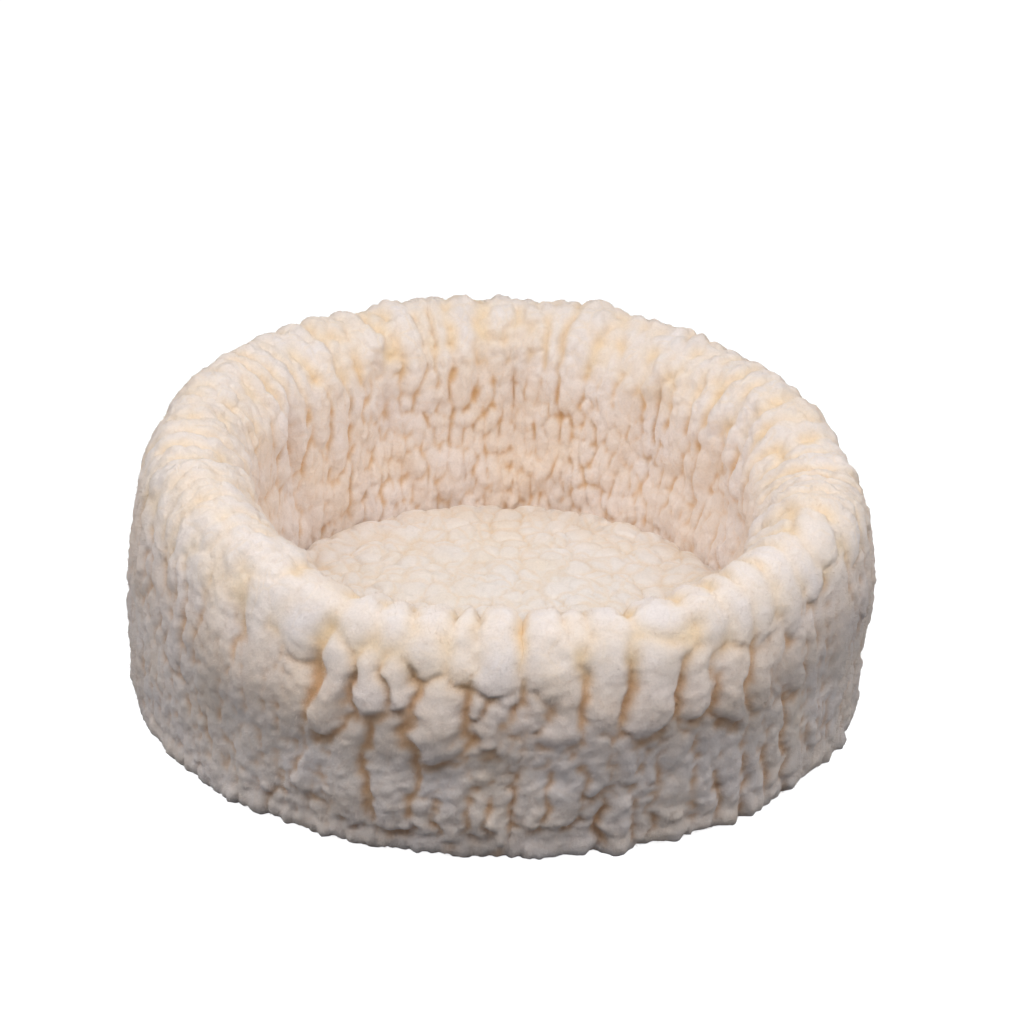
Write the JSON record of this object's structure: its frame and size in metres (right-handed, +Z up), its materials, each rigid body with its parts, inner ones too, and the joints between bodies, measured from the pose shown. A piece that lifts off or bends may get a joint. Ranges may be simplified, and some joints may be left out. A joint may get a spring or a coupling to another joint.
{
  "type": "cat bed",
  "caption": "Round cat bed: a fleece-covered, filled ring wall with a low front and rolled rim around a crowned floor pad.",
  "frame": {"origin": "on the ground under the middle of the bed's outline", "axes": "+Z up, -Y towards the low front of the wall, +X to the right seen from the front"},
  "size_m": [0.438, 0.4525, 0.1703],
  "materials": {
    "wall_fleece": "thick cream sheep-like pile fleece, matte",
    "pad_fleece": "short cream pile fleece, matte",
    "base_cloth": "plain woven base cloth, matte"
  },
  "bodies": {
    "root": {"wall_left": "wall_fleece", "wall_right": "wall_fleece", "floor_pad": "pad_fleece", "base_panel": "base_cloth"}
  },
  "joints": []
}
